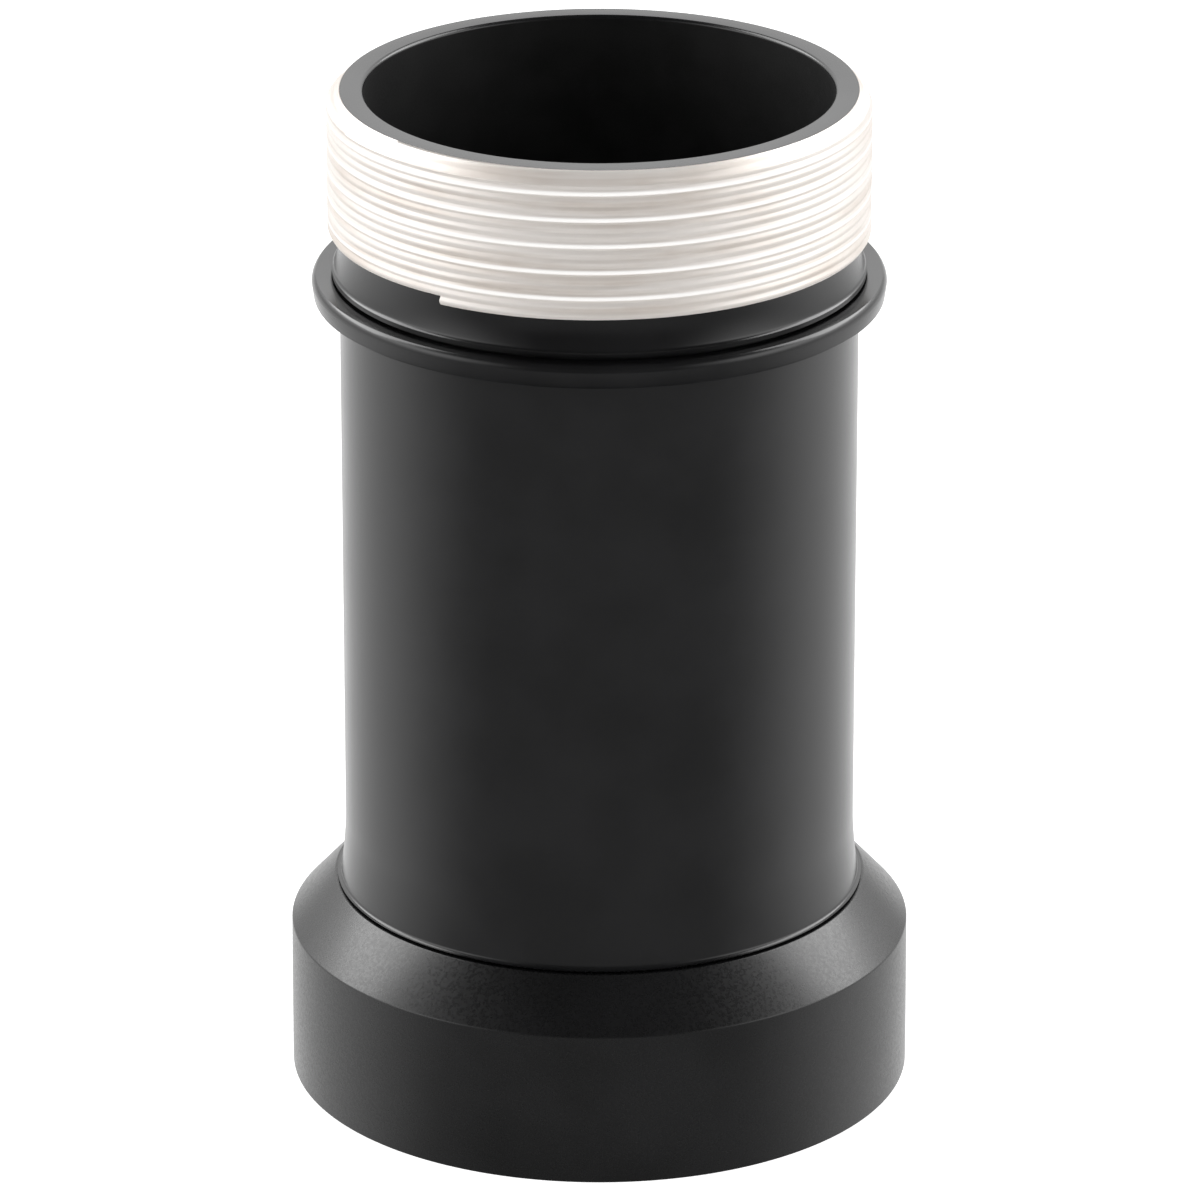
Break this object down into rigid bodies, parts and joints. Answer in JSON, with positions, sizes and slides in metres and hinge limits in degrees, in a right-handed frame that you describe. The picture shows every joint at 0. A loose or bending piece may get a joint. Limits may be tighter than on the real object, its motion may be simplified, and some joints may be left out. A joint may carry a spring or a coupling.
{
  "type": "barlow lens",
  "caption": "Camera-thread barlow lens: black tube with a flange ring, a bare male T-thread on top, a cone-shouldered socket below and a screw-in lens cell.",
  "frame": {"origin": "centre of the telescope socket's bottom face, on the surface the lens stands on", "axes": "+Z along the optical axis towards the camera; X and Y are across it, and the part is round about Z"},
  "size_m": [0.049, 0.049, 0.0812],
  "materials": {
    "barrel_black": "satin black anodised aluminium",
    "socket_black": "fine bead-blasted black anodised aluminium",
    "bare_aluminium": "bare turned aluminium thread",
    "ring_black": "satin black anodised aluminium",
    "inner_black": "dead matt black",
    "seal_rubber": "matt black rubber",
    "crown_glass": "polished, coated",
    "flint_glass": "polished, coated",
    "screw_steel": "plain steel"
  },
  "bodies": {
    "barrel": {"main_barrel": "barrel_black", "cell_spacer_ring": "ring_black", "baffle_ring_lower": "inner_black", "baffle_ring_middle": "inner_black", "baffle_ring_upper": "inner_black", "baffle_sleeve_lower": "inner_black", "baffle_sleeve_upper": "inner_black", "baffle_retaining_ring": "ring_black"},
    "collar_carriage": {"collar_seal_ring": "seal_rubber"},
    "collar": {"camera_thread_collar": "bare_aluminium"},
    "socket_carriage": {"socket_seal_ring": "seal_rubber"},
    "socket": {"telescope_socket": "socket_black"},
    "glass_stack": {"flint_meniscus_lens": "flint_glass", "lens_spacer_ring": "ring_black", "negative_crown_lens": "crown_glass"},
    "cell": {"lens_cell": "ring_black", "lens_centring_screw_1": "screw_steel", "lens_centring_screw_2": "screw_steel", "lens_centring_screw_3": "screw_steel"},
    "cushion_carriage": {"lens_cushion_ring": "seal_rubber"},
    "retaining_ring": {"lens_retaining_ring": "ring_black"}
  },
  "joints": [
    {"name": "collar_travel", "type": "slide", "parent": "barrel", "child": "collar_carriage", "axis": [0, 0, 1], "range_m": [0, 0.005]},
    {"name": "collar_turn", "type": "hinge", "parent": "collar_carriage", "child": "collar", "pos_m": [0, 0, 0.07], "axis": [0, 0, 1], "range_deg": [0, 3600]},
    {"name": "socket_travel", "type": "slide", "parent": "barrel", "child": "socket_carriage", "axis": [0, 0, -1], "range_m": [0, 0.005]},
    {"name": "socket_turn", "type": "hinge", "parent": "socket_carriage", "child": "socket", "pos_m": [0, 0, 0.008], "axis": [0, 0, -1], "range_deg": [0, 3600]},
    {"name": "cell_travel", "type": "slide", "parent": "barrel", "child": "glass_stack", "axis": [0, 0, -1], "range_m": [0, 0.006]},
    {"name": "cell_turn", "type": "hinge", "parent": "glass_stack", "child": "cell", "pos_m": [0, 0, 0.018], "axis": [0, 0, -1], "range_deg": [0, 4320]},
    {"name": "ring_travel", "type": "slide", "parent": "glass_stack", "child": "cushion_carriage", "axis": [0, 0, -1], "range_m": [0, 0.002]},
    {"name": "ring_turn", "type": "hinge", "parent": "cushion_carriage", "child": "retaining_ring", "pos_m": [0, 0, 0.013], "axis": [0, 0, -1], "range_deg": [0, 1440]}
  ],
  "couplings": [
    {"joint": "collar_turn", "follows": "collar_travel", "rad_per_m": 12566},
    {"joint": "socket_turn", "follows": "socket_travel", "rad_per_m": 12566},
    {"joint": "cell_turn", "follows": "cell_travel", "rad_per_m": 12566},
    {"joint": "ring_turn", "follows": "ring_travel", "rad_per_m": 12566}
  ]
}
